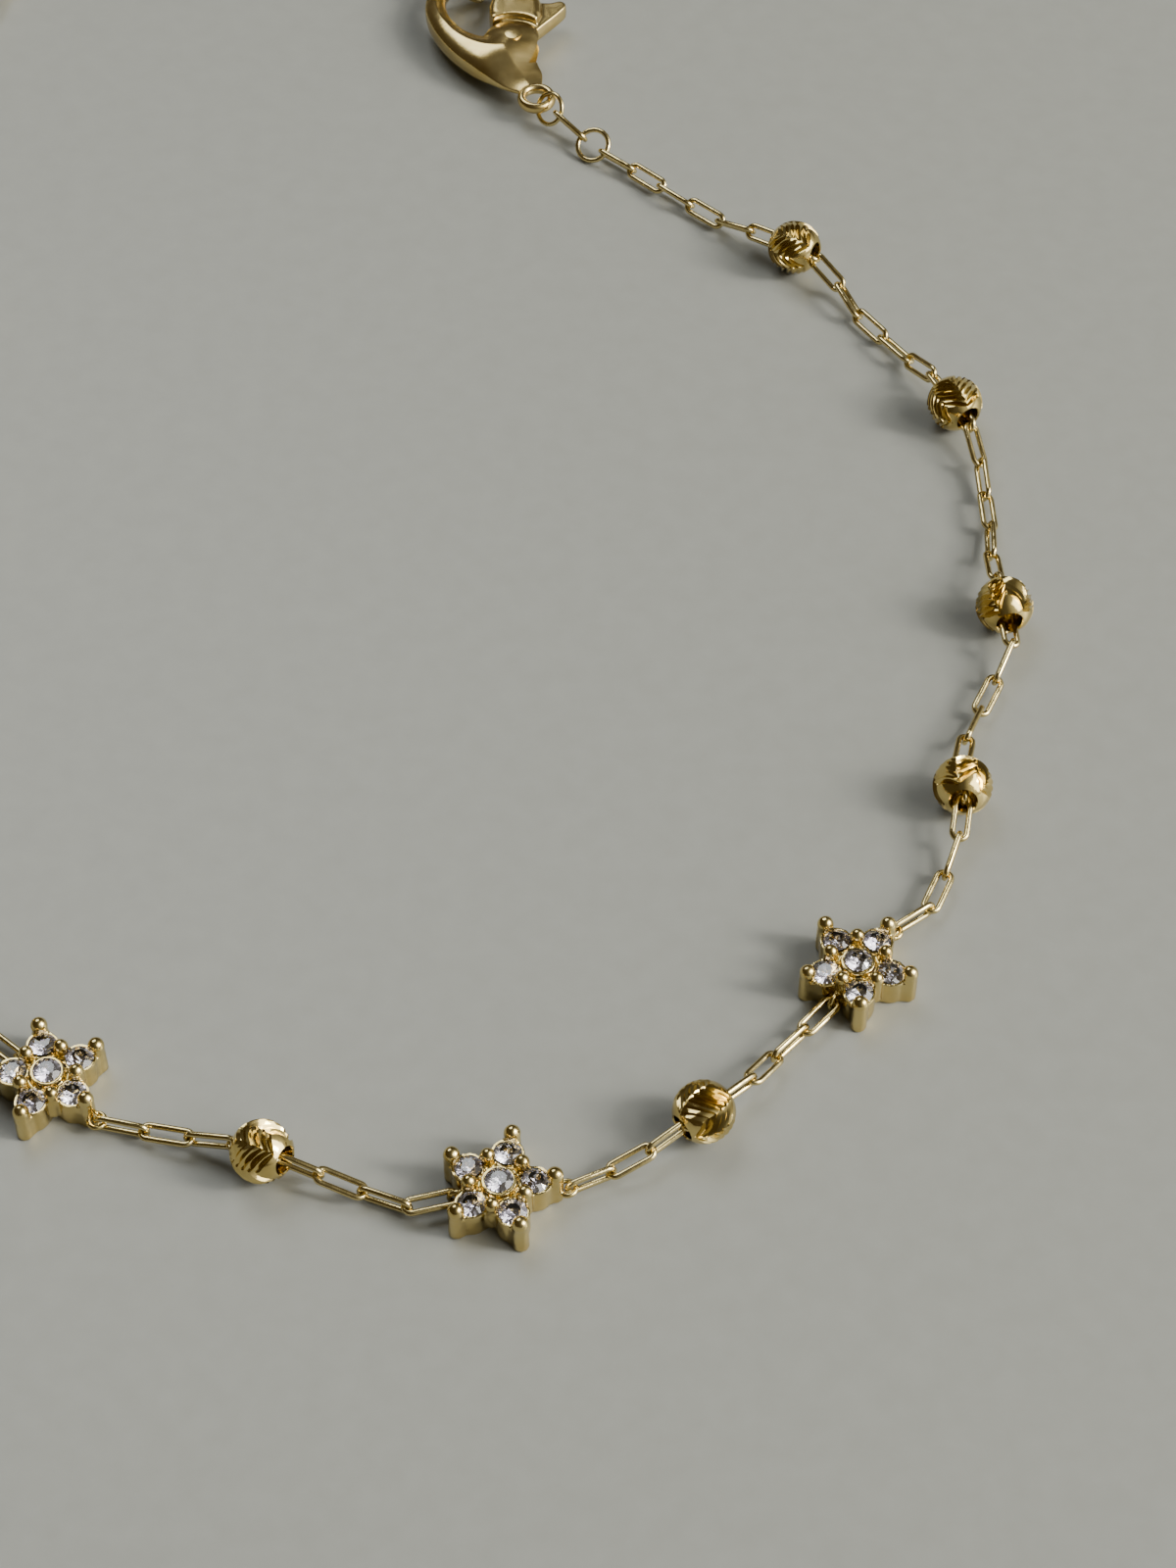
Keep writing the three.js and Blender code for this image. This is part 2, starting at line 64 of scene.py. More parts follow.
ARM_COUNT = 5
STARS = [  # plan position and the direction that the chain travels in
    {"name": "1", "x": 10.74, "y": -10.04, "heading": 233.4},
    {"name": "2", "x": -3.38, "y": -20.22, "heading": 185.1},
    {"name": "3", "x": -21.01, "y": -15.25, "heading": 139.6},
]
TIP_EYE_AT = 2.6  # on the first arm's tip
NOTCH_EYE_AT = 1.6  # between the two arms that face it
EYE_RADIUS = 0.33
EYE_WIRE = 0.22
EYE_HEIGHT = 0.5
EYE_GRIP = 0.12  # from an eye's centre to where a link pulls on it
NOTCH_AT = 1.16
CUP_AT = 1.38
CUP_RISE = 0.06  # over the star's wall
COLLAR_TOP = 1.45
PLATE_BELOW = 0.02  # under the star's wall
ARM_SIDE = ((1.25, -0.66), (1.62, -0.56), (1.95, -0.38), (2.17, -0.31), (2.38, -0.22))
ARM_TIP = (2.47, 0.0)
SEAT = (  # radius, height over the rim
    (0.0, -0.62), (0.2, -0.6), (0.5, -0.1), (0.565, -0.02), (0.565, 0.08), (0.42, 0.4), (0.0, 0.4))
OUTER_PRONG = {"at": 2.13, "radius": 0.34, "foot": 0.0, "below": 0.0}
INNER_PRONG = {"at": 1.15, "radius": 0.31, "foot": 0.3, "below": 0.02}
CENTRE_GIRDLE = 1.50
ARM_GIRDLE_RISE = 0.08  # over the star's wall
ARM_STONE_LEAN = 9
STONE_STRAY = 3
FOIL_FACING = -0.4  # facets that face further down than this are foiled

CLASP_AT = (-2.52, 41.85)
CLASP_HEADING = 114
CLASP_MIDDLE = 1.0
PIVOT = (3.9, -0.45)  # in the clasp's own frame, as its outlines are
TAIL_RING = {"radius": 0.75, "wire": 0.22, "reach": 1.0, "height": 1.0, "roll": 55, "grip": 0.555}
END_RING = {"radius": 1.25, "wire": 0.32, "reach": 9.5, "height": 1.05, "roll": 42, "grip": 1.0}
TAIL_DIRECTION = -48.9
HOOK_DIRECTION = -48

LINK_PITCH = 1.84
LINK_BITE = 0.004  # that a link is short of its pitch
JOIN_RING_WIDTH = 1.8
LIE_HEIGHT = 0.49
DROP_LENGTH = 3.0  # over which the chain comes down to the table
BEND_PULL = 0.36  # of a stretch's length that each end holds straight
ROLL_WOBBLE = 3
BEAD_STRAIGHT = 1.35
BEAD_SAG = 0.06  # of the chain in a bead's hole

GROOVE_COUNT = 6
GROOVE_STEPS = 6  # rows of points from one groove to the next
GROOVE_SPACING = 14.5
GROOVE_SWING = 19
GROOVE_VALLEYS = (1, 2, 4)  # rows at which a groove may be deepest
BAND_KNEE = 42  # latitude past which the band is squeezed together
BAND_MARGIN = 2  # that it keeps from the hole
COLLAR_ROWS = 5
STROKE_PARTS = 10
STROKE_GAP = 0.02  # share of a stroke at each end
STRAY = {"length": (0.7, 1.3), "swing": (0.55, 1.05), "shift": (-0.3, 0.3), "depth": (0.6, 1.25)}
BORE_ROWS = ((0.95, 0.92), (0.5, 0.9), (-0.5, 0.9), (-0.95, 0.92))  # of its height, its radius


def lie(x, y):
    """A place where the chain lies on the table."""
    return {"kind": "lie", "x": x, "y": y}


def bead(x, y, heading, cock, tilt=0):
    """A bead on the chain, which runs level or tilts; cock is how it leans further on it."""
    return {"kind": "bead", "x": x, "y": y, "heading": heading, "cock": cock, "tilt": tilt}


# The lay of the chain from the clasp's tail round to the ring in its hook.
RUNS = [
    {"name": "chain_1", "first_roll": -60, "last_roll": 90, "ring_at": 1, "stations": [
        {"kind": "clasp_tail"},
        lie(2.84, 36.68),
        lie(6.31, 33.6),
        bead(9.71, 31.04, -36, (6, 5)),
        lie(12.55, 27.33),
        bead(16.59, 20.89, -66, (6, 0)),
        lie(17.71, 15.7),
        bead(17.96, 8.81, -82, (0, 4)),
        lie(16.61, 3.6),
        bead(15.51, -1.05, -90, (-4, 7), tilt=8),
        lie(14.75, -4.53),
        lie(13.92, -6.7),
        {"kind": "star_tip", "star": 0},
    ]},
    {"name": "chain_2", "first_roll": 0, "last_roll": 90, "stations": [
        {"kind": "star_notch", "star": 0},
        lie(7.61, -13.68),
        bead(4.47, -17.01, 218, (0, -6)),
        lie(1.03, -19.19),
        {"kind": "star_tip", "star": 1},
    ]},
    {"name": "chain_3", "first_roll": 0, "last_roll": 90, "stations": [
        {"kind": "star_notch", "star": 1},
        lie(-6.81, -20.83),
        lie(-9.37, -19.81),
        bead(-12.47, -18.81, 156, (-6, -5), tilt=-6),
        lie(-16.09, -17.6),
        {"kind": "star_tip", "star": 2},
    ]},
    {"name": "chain_4", "first_roll": 0, "last_roll": -25, "stations": [
        {"kind": "star_notch", "star": 2},
        bead(-27.4, -7.9, 113, (3, 3)),
        bead(-28.6, 2.8, 93, (-4, 2)),
        bead(-29.2, 15.1, 93, (0, -5)),
        bead(-29.9, 27.5, 93, (5, 0)),
        lie(-30.8, 46.2),
        lie(-28.2, 52.6),
        lie(-18.6, 55.3),
        {"kind": "clasp_hook"},
    ]},
]


# ----------------------
# What a user may change

LENGTH = {"unit": "LENGTH", "precision": 6}
COLOUR = {"subtype": "COLOR", "size": 3, "min": 0, "max": 1}


class ChainSettings(bpy.types.PropertyGroup):
    """Sizes and finish of the cable chain and its rings"""

    wire: FloatProperty(
        name="Wire", description="Thickness of the link wire", default=0.00025, **LENGTH)
    width: FloatProperty(
        name="Link width", description="Width over a link", default=0.00086, **LENGTH)
    gold: FloatVectorProperty(
        name="Gold", description="Colour of the chain's metal", default=(0.74, 0.61, 0.29),
        **COLOUR)


class BeadSettings(bpy.types.PropertyGroup):
    """Sizes and cut of the grooved beads"""

    radius: FloatProperty(
        name="Radius", description="Radius over the ridges", default=0.00125, **LENGTH)
    bore: FloatProperty(
        name="Bore", description="Radius of the drilled hole", default=0.0006, **LENGTH)
    groove_depth: FloatProperty(
        name="Groove depth", description="Depth of the cut grooves", default=0.0002, **LENGTH)
    zigzags: IntProperty(
        name="Zigzags", description="Times that each groove turns back on its way round", default=4)
    gold: FloatVectorProperty(
        name="Gold", description="Colour of the beads' metal", default=(0.72, 0.57, 0.23), **COLOUR)


class StarSettings(bpy.types.PropertyGroup):
    """Sizes and finish of the cast star settings"""

    wall: FloatProperty(
        name="Wall height", description="Height of the star's wall", default=0.00118, **LENGTH)
    prong: FloatProperty(
        name="Prong height", description="Height of the prongs' rounded tops", default=0.00188,
        **LENGTH)
    grain: FloatProperty(
        name="Casting grain", description="Size of the mesh cells that the casting is fused in",
        default=0.00004, **LENGTH)
    gold: FloatVectorProperty(
        name="Gold", description="Colour of the settings' metal", default=(0.72, 0.58, 0.25),
        **COLOUR)


class StoneSettings(bpy.types.PropertyGroup):
    """Sizes and tint of the round stones"""

    radius: FloatProperty(
        name="Radius", description="Radius at the girdle", default=0.00055, **LENGTH)
    table: FloatProperty(
        name="Table", description="Width of the flat top over the stone's width", default=0.57,
        subtype="FACTOR", min=0.4, max=0.7)
    tint: FloatVectorProperty(
        name="Tint", description="Colour of the crystal", default=(0.98, 0.97, 1.0), **COLOUR)


class ClaspSettings(bpy.types.PropertyGroup):
    """Sizes and finish of the lobster clasp"""

    thickness: FloatProperty(
        name="Thickness", description="Thickness of the body at its waist", default=0.002, **LENGTH)
    grain: FloatProperty(
        name="Casting grain", description="Size of the mesh cells that the body is fused in",
        default=0.00006, **LENGTH)
    gold: FloatVectorProperty(
        name="Gold", description="Colour of the clasp's metal", default=(0.70, 0.55, 0.24),
        **COLOUR)


class StageSettings(bpy.types.PropertyGroup):
    """Table, lights and camera"""

    table: FloatVectorProperty(
        name="Table", description="Colour of the table top", default=(0.250, 0.256, 0.232),
        **COLOUR)
    key: FloatProperty(
        name="Window light", description="Power of the soft light from the side", default=7.4,
        unit="POWER")
    elevation: FloatProperty(
        name="Camera elevation", description="Camera's height angle", default=radians(52),
        subtype="ANGLE")
    distance: FloatProperty(
        name="Camera distance", description="From the camera to the middle of its view",
        default=0.14595, **LENGTH)


SETTINGS = {
    "bracelet_chain": ChainSettings,
    "bracelet_beads": BeadSettings,
    "bracelet_stars": StarSettings,
    "bracelet_stones": StoneSettings,
    "bracelet_clasp": ClaspSettings,
    "bracelet_stage": StageSettings,
}


def mm(length):
    """A setting in metres as millimetres."""
    return length * 1000


# ----------------------
# Finishes


def node_maker(owner):
    """Empties the tree of a material or world and returns a function that adds one node to it."""
    owner.use_nodes = True
    tree = owner.node_tree
    tree.nodes.clear()

    def add(kind, inputs=None, **attributes):
        node = tree.nodes.new(kind)
        for key, value in attributes.items():
            setattr(node, key, value)
        for key, value in (inputs or {}).items():
            if isinstance(value, bpy.types.NodeSocket):
                tree.links.new(value, node.inputs[key])
            else:
                node.inputs[key].default_value = value
        return node

    return add


def ramp(node, *stops):
    """Sets a colour ramp's stops from (position, colour) pairs."""
    elements = node.color_ramp.elements
    while len(elements) < len(stops):
        elements.new(0.5)
    for element, (position, colour) in zip(elements, stops):
        element.position = position
        element.color = (*colour, 1)


def start_finish(name):
    """A new material, the function that adds its nodes, and the piece's own coordinates."""
    material = bpy.data.materials.new(name)
    add = node_maker(material)
    return material, add, add("ShaderNodeTexCoord").outputs["Object"]


def noise(add, where, scale, detail):
    """A cloudy pattern."""
    cloud = add("ShaderNodeTexNoise", {"Vector": where, "Scale": scale, "Detail": detail})
    return cloud.outputs["Fac"]


def toned(add, pattern, *stops):
    """The colours that a pattern runs through."""
    tone = add("ShaderNodeValToRGB", {"Fac": pattern})
    ramp(tone, *stops)
    return tone.outputs["Color"]


def relief(add, height, strength, distance, **under):
    """A shallow relief, its distance in metres, over another one that is given as Normal."""
    bump = add("ShaderNodeBump", {
        "Height": height, "Strength": strength, "Distance": distance, **under})
    return bump.outputs["Normal"]


def coat(add, sockets):
    """Ends a material in one shader."""
    shader = add("ShaderNodeBsdfPrincipled", sockets)
    add("ShaderNodeOutputMaterial", {"Surface": shader.outputs["BSDF"]})


def scaled(colour, shares):
    """A colour with a share of each channel."""
    return [channel * share for channel, share in zip(colour, shares)]


def gold_finish(name, colour, roughness, waviness=0.25, scratches=0.12):
    """Polished plated gold with slow waves, fine scratches and slightly redder patches."""
    material, add, where = start_finish(name)
    deeper = scaled(colour, (0.92, 0.88, 0.78))
    tone = toned(add, noise(add, where, 700.0, 3.0), (0.34, deeper), (0.62, colour))
    rough = add("ShaderNodeMapRange", {
        "Value": noise(add, where, 2600.0, 4.0), "From Min": 0.3, "From Max": 0.7,
        "To Min": roughness[0], "To Max": roughness[1]})
    waves = relief(add, noise(add, where, 1500.0, 1.0), waviness, 0.0002)
    stretched = add("ShaderNodeMapping", {"Vector": where, "Scale": (1.0, 0.16, 0.5)})
    scuffs = noise(add, stretched.outputs["Vector"], 16000.0, 2.0)
    coat(add, {
        "Base Color": tone, "Metallic": 1.0, "Roughness": rough.outputs["Result"],
        "Normal": relief(add, scuffs, scratches, 0.00004, Normal=waves)})
    return material


def crystal_finish(name, tint):
    """Clear cut crystal with a faint cool cloud in it."""
    material, add, where = start_finish(name)
    cooler = scaled(tint, (0.93, 0.88, 1.0))
    tone = toned(add, noise(add, where, 1300.0, 2.0), (0.35, cooler), (0.6, tint))
    coat(add, {
        "Base Color": tone, "Metallic": 0.0, "Roughness": 0.01, "IOR": 2.0,
        "Transmission Weight": 1.0})
    return material


def foil_finish(name, tint):
    """Bright foil behind a stone, faintly crinkled."""
    material, add, where = start_finish(name)
    crinkle = noise(add, where, 4000.0, 2.0)
    tone = toned(add, crinkle, (0.3, scaled(tint, (0.8, 0.8, 0.8))), (0.65, tint))
    coat(add, {
        "Base Color": tone, "Metallic": 1.0, "Roughness": 0.03,
        "Normal": relief(add, crinkle, 0.1, 0.00005)})
    return material


def table_finish(name, colour):
    """Smooth pale lacquer with a faint mottle and a soft sheen."""
    material, add, where = start_finish(name)
    darker, lighter = (scaled(colour, (share, share, share)) for share in (0.965, 1.03))
    tone = toned(add, noise(add, where, 900.0, 4.0), (0.3, darker), (0.7, lighter))
    coat(add, {
        "Base Color": tone, "Roughness": 0.42, "IOR": 1.45,
        "Normal": relief(add, noise(add, where, 2500.0, 2.0), 0.15, 0.00002)})
    return material


# ----------------------
# Pieces and solids

AXIS_RADIUS = 1e-4  # of a turned skin's end, so that its ring of points stays open
SOFTEN_SHARE = 0.5


def bring_in(name, data):
    """A new object in the scene that holds a mesh, a light or a camera."""
    thing = bpy.data.objects.new(name, data)
    bpy.context.scene.collection.objects.link(thing)
    return thing


def add_piece(name, mesh, material, crease, body="bracelet"):
    """Makes a mesh, in plan millimetres, a piece of the bracelet that replaces its own node."""
    mesh.transform(TO_FRAME)
    mesh.shade_smooth()
    mesh.set_sharp_from_angle(angle=radians(crease))
    mesh.materials.clear()
    mesh.materials.append(material)
    piece = bring_in(f"{name}_look", mesh)
    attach(piece, body)
    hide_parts(name)
    return piece


def written(shell, mesh):
    """Writes a shell to a mesh, with its normals facing out."""
    bmesh.ops.recalc_face_normals(shell, faces=shell.faces)
    shell.to_mesh(mesh)
    shell.free()
    return mesh


def mesh_of(name, vertices, faces):
    """A mesh from its points and faces."""
    mesh = bpy.data.meshes.new(name)
    mesh.from_pydata(vertices, [], faces)
    shell = bmesh.new()
    shell.from_mesh(mesh)
    return written(shell, mesh)


def grid_faces(rows, columns, closed):
    """Quads over rows of points, each row a closed ring; the rows may close into a tube too."""
    faces = []
    for row in range(rows if closed else rows - 1):
        here, there = row * columns, (row + 1) % rows * columns
        for column in range(columns):
            after = (column + 1) % columns
            faces.append((here + column, here + after, there + after, there + column))
    return faces


def sweep(rings, closed):
    """Points and faces of a skin over rings of equal length; an open one is capped."""
    sides = len(rings[0])
    vertices = [point for ring in rings for point in ring]
    faces = grid_faces(len(rings), sides, closed)
    if not closed:
        faces.append(tuple(range(sides)))
        faces.append(tuple(range(len(vertices) - sides, len(vertices))))
    return vertices, faces


def stock(shell, vertices, faces):
    """Adds a skin to the pieces of stock that are to be fused."""
    made = [shell.verts.new(vertex) for vertex in vertices]
    for face in faces:
        shell.faces.new([made[index] for index in face])


def turns(count, shift=0.0):
    """Angles that part a whole turn equally; a shift is in parts."""
    return [2 * pi * (part + shift) / count for part in range(count)]


def polar(distance, turn, height=0.0):
    """Point at a distance and an angle about Z."""
    return Vector((distance * cos(turn), distance * sin(turn), height))


def moved(distance, turn, height=0.0):
    """Matrix that moves something to a distance and an angle about Z."""
    return Matrix.Translation(polar(distance, turn, height))


def set_down(x, y, z, heading):
    """Matrix that sets a piece down on the plan, from its own frame."""
    return Matrix.Translation((x, y, z)) @ Matrix.Rotation(radians(heading), 4, "Z")


def turned(profile, sides, place=Matrix()):
    """Points and faces of a profile of (radius, height) turned about Z."""
    rings = [
        [place @ polar(max(radius, AXIS_RADIUS), turn, height) for turn in turns(sides)]
        for radius, height in profile]
    return sweep(rings, closed=False)


def torus(radius, half_width, half_height, place, around=40, section=14):
    """Points and faces of a ring whose section is an ellipse."""
    rings = [
        [place @ polar(radius + half_width * cos(bend), turn, half_height * sin(bend))
         for bend in turns(section)]
        for turn in turns(around)]
    return sweep(rings, closed=True)


def prism(outline, low, high):
    """Points and faces of a flat outline raised from low to high."""
    rings = [[Vector((x, y, level)) for x, y in outline] for level in (low, high)]
    return sweep(rings, closed=False)


def modified(name, mesh, build):
    """A mesh after the modifiers that build puts on an object that holds it."""
    blank = bring_in(name, mesh)
    build(blank)
    graph = bpy.context.evaluated_depsgraph_get()
    result = bpy.data.meshes.new_from_object(blank.evaluated_get(graph))
    bpy.data.objects.remove(blank)
    return result


def fuse(name, shell, cell, rounds):
    """Fuses overlapping stock into one skin, as a casting, and softens its edges."""
    def build(blank):
        melt = blank.modifiers.new("Melt", "REMESH")
        melt.mode = "VOXEL"
        melt.voxel_size = cell
        soften = blank.modifiers.new("Soften", "SMOOTH")
        soften.factor = SOFTEN_SHARE
        soften.iterations = rounds

    return modified(name, written(shell, bpy.data.meshes.new(name)), build)


def carve(name, mesh, cutters):
    """Cuts closed skins out of a mesh."""
    shell = bmesh.new()
    for vertices, faces in cutters:
        stock(shell, vertices, faces)
    tool = bring_in("tool", written(shell, bpy.data.meshes.new("tool")))

    def build(blank):
        cut = blank.modifiers.new("Cut", "BOOLEAN")
        cut.operation = "DIFFERENCE"
        cut.solver = "EXACT"
        cut.use_self = True
        cut.object = tool

    result = modified(name, mesh, build)
    bpy.data.objects.remove(tool)
    return result


# ----------------------
# Lay of the chain


def direction(heading, tilt=0.0):
    """Unit vector from a heading and a rise, in degrees."""
    return polar(cos(radians(tilt)), radians(heading), sin(radians(tilt)))


def tail_point():
    """Centre of the clasp's tail eye."""
    return Vector((*CLASP_AT, TAIL_RING["height"]))


def end_ring_centre():
    """Centre of the ring that hangs in the clasp's hook."""
    return Vector((*CLASP_AT, END_RING["height"])) + direction(CLASP_HEADING) * END_RING["reach"]


def standing(station):
    """Where a station stands in plan."""
    if station["kind"].startswith("clasp"):
        return settle(station, None, None)["in"]
    spot = STARS[station["star"]] if "star" in station else station
    return Vector((spot["x"], spot["y"], 0.0))


def settle(station, before, after):
    """The points where the chain comes into and goes out of a station, and its line there."""
    kind = station["kind"]
    half = Vector()
    if kind == "clasp_tail":
        line = direction(TAIL_DIRECTION)
        point = tail_point() + line * (TAIL_RING["reach"] + TAIL_RING["grip"])
    elif kind == "clasp_hook":
        line = direction(HOOK_DIRECTION)
        point = end_ring_centre() - line * END_RING["grip"]
    elif kind.startswith("star"):
        star = STARS[station["star"]]
        line = direction(star["heading"])
        reach = -(TIP_EYE_AT + EYE_GRIP) if kind == "star_tip" else NOTCH_EYE_AT + EYE_GRIP
        point = Vector((star["x"], star["y"], EYE_HEIGHT)) + line * reach
    elif kind == "bead":
        line = direction(station["heading"], station["tilt"])
        point = bead_centre(station) - Vector((0, 0, BEAD_SAG))
        half = line * BEAD_STRAIGHT
    else:
        point = Vector((station["x"], station["y"], LIE_HEIGHT))
        line = after - before
        line.z = 0
        line.normalize()
    return {"in": point - half, "out": point + half, "line": line}


def bead_centre(station):
    """Centre of a bead that rests on the table."""
    radius = mm(bpy.context.scene.bracelet_beads.radius)
    return Vector((station["x"], station["y"], radius))


def nearness(distance, drop):
    """1 at a station, easing to 0 a drop away from it."""
    t = min(distance / drop, 1.0)
    return 1 - t * t * (3 - 2 * t)


def stretch(start, end, steps=60):
    """A curved stretch in plan that comes down to the table between its two ends."""
    span = end["in"] - start["out"]
    plan = math.hypot(span.x, span.y)
    drop = min(DROP_LENGTH, plan)
    pulls = [Vector((*place["line"].xy, 0)) * plan * BEND_PULL for place in (start, end)]
    knots = (start["out"], start["out"] + pulls[0], end["in"] - pulls[1], end["in"])
    points = []
    for i in range(steps + 1):
        t = i / steps
        weights = ((1 - t) ** 3, 3 * t * (1 - t) ** 2, 3 * t * t * (1 - t), t ** 3)
        point = sum((knot * weight for knot, weight in zip(knots, weights)), Vector())
        point.z = (
            LIE_HEIGHT + (start["out"].z - LIE_HEIGHT) * nearness(t * plan, drop)
            + (end["in"].z - LIE_HEIGHT) * nearness((1 - t) * plan, drop))
        points.append(point)
    return points


def lay_route(stations):
    """Points along a whole run."""
    last = len(stations) - 1
    settled = [
        settle(station, standing(stations[max(i - 1, 0)]), standing(stations[min(i + 1, last)]))
        for i, station in enumerate(stations)]
    return [point for pair in zip(settled, settled[1:]) for point in stretch(*pair)]


def step_along(route, pitches):
    """The points that neighbouring links share, a pitch apart along a route."""
    reach = [0.0]
    for a, b in zip(route, route[1:]):
        reach.append(reach[-1] + (b - a).length)
    scale = reach[-1] / sum(pitches)
    points = [route[0].copy()]
    travelled = 0.0
    at = 1
    for pitch in pitches:
        travelled += pitch * scale
        while at < len(route) - 1 and reach[at] < travelled:
            at += 1
        share = (travelled - reach[at - 1]) / (reach[at] - reach[at - 1])
        points.append(route[at - 1].lerp(route[at], share))
    return points


def link_frame(start, end, roll):
    """Frame with X along a link and Y across it, rolled about X from lying flat."""
    along = (end - start).normalized()
    side = Vector((0, 0, 1)).cross(along).normalized()
    up = along.cross(side)
    across = side * cos(radians(roll)) + up * sin(radians(roll))
    turn = Matrix((along, across, along.cross(across))).transposed().to_4x4()
    return Matrix.Translation((start + end) / 2) @ turn


def link_rolls(run, count):
    """A quarter turn a link, with the run's twist shared out and a small stray."""
    even = run["last_roll"] - run["first_roll"] - 90 * (count - 1)
    twist = (even + 90) % 180 - 90
    return [
        run["first_roll"] + i * (90 + twist / (count - 1))
        + ROLL_WOBBLE * sin(1.7 * i) * sin(pi * i / (count - 1))
        for i in range(count)]


def laid_links(run, wire, width):
    """Yields (inner length, width, frame) for each link of a run."""
    route = lay_route(run["stations"])
    length = sum((b - a).length for a, b in zip(route, route[1:]))
    ring_pitch = JOIN_RING_WIDTH - 2 * wire
    ring_at = run.get("ring_at")
    count = round((length - (ring_pitch if ring_at is not None else 0)) / LINK_PITCH)
    pitches = [LINK_PITCH] * count
    if ring_at is not None:
        pitches.insert(ring_at, ring_pitch)
    points = step_along(route, pitches)
    rolls = link_rolls(run, len(pitches))
    for i, roll in enumerate(rolls):
        inner = (points[i + 1] - points[i]).length
        over = JOIN_RING_WIDTH if i == ring_at else width
        yield inner, over, link_frame(points[i], points[i + 1], roll)


# ----------------------
# Chain


def link_skin(inner, width, wire, place, bend_steps=10, section=10):
    """An oval link: two straight sides and two round ends of drawn wire."""
    half = (width - wire) / 2
    straight = max(inner / 2 + wire / 2 - half, 0.0)
    rings = []
    for end, shift in ((0, straight), (pi, -straight)):
        for i in range(bend_steps + 1):
            turn = end - pi / 2 + pi * i / bend_steps
            outward = polar(1, turn)
            centre = Vector((shift, 0, 0)) + outward * half
            rings.append([
                place @ (centre + outward * (wire / 2 * cos(bend))
                         + Vector((0, 0, wire / 2 * sin(bend))))
                for bend in turns(section)])
    return sweep(rings, closed=True)


class BRACELET_OT_chains(bpy.types.Operator):
    """Lay the four runs of cable chain"""

    bl_idname = "bracelet.chains"
    bl_label = "Chain runs"

    def execute(self, context):
        settings = context.scene.bracelet_chain
        gold = gold_finish("chain_gold", settings.gold, roughness=(0.1, 0.24), waviness=0.15)
        for run in RUNS:
            vertices, faces = [], []
            for inner, width, place in laid_links(run, mm(settings.wire), mm(settings.width)):
                points, quads = link_skin(inner - LINK_BITE, width, mm(settings.wire), place)
                faces += [tuple(index + len(vertices) for index in quad) for quad in quads]
                vertices += points
            mesh = mesh_of(run["name"], vertices, faces)
            add_piece(run["name"], mesh, gold, crease=60)
        return {"FINISHED"}


class BRACELET_OT_rings(bpy.types.Operator):
    """Make the ring on the clasp's tail and the ring in its hook"""

    bl_idname = "bracelet.rings"
    bl_label = "Rings"

    def execute(self, context):
        gold = gold_finish("ring_gold", context.scene.bracelet_chain.gold, roughness=(0.14, 0.3))
        tail_line = direction(TAIL_DIRECTION)
        rings = (
            ("tail_ring", TAIL_RING, tail_point() + tail_line * TAIL_RING["reach"], tail_line),
            ("end_ring", END_RING, end_ring_centre(), direction(CLASP_HEADING)),
        )
        for name, ring, centre, line in rings:
            place = link_frame(centre - line, centre + line, ring["roll"])
            half = ring["wire"] / 2
            skin = torus(ring["radius"], half, half, place, around=56, section=16)
            add_piece(name, mesh_of(name, *skin), gold, crease=60)
        return {"FINISHED"}


# ----------------------
# Beads


def shares_of(parts):
    """Where each part starts, and the whole, when the parts are scaled to a whole of 1."""
    starts = [0.0]
    for part in parts:
        starts.append(starts[-1] + part / sum(parts))
    return starts


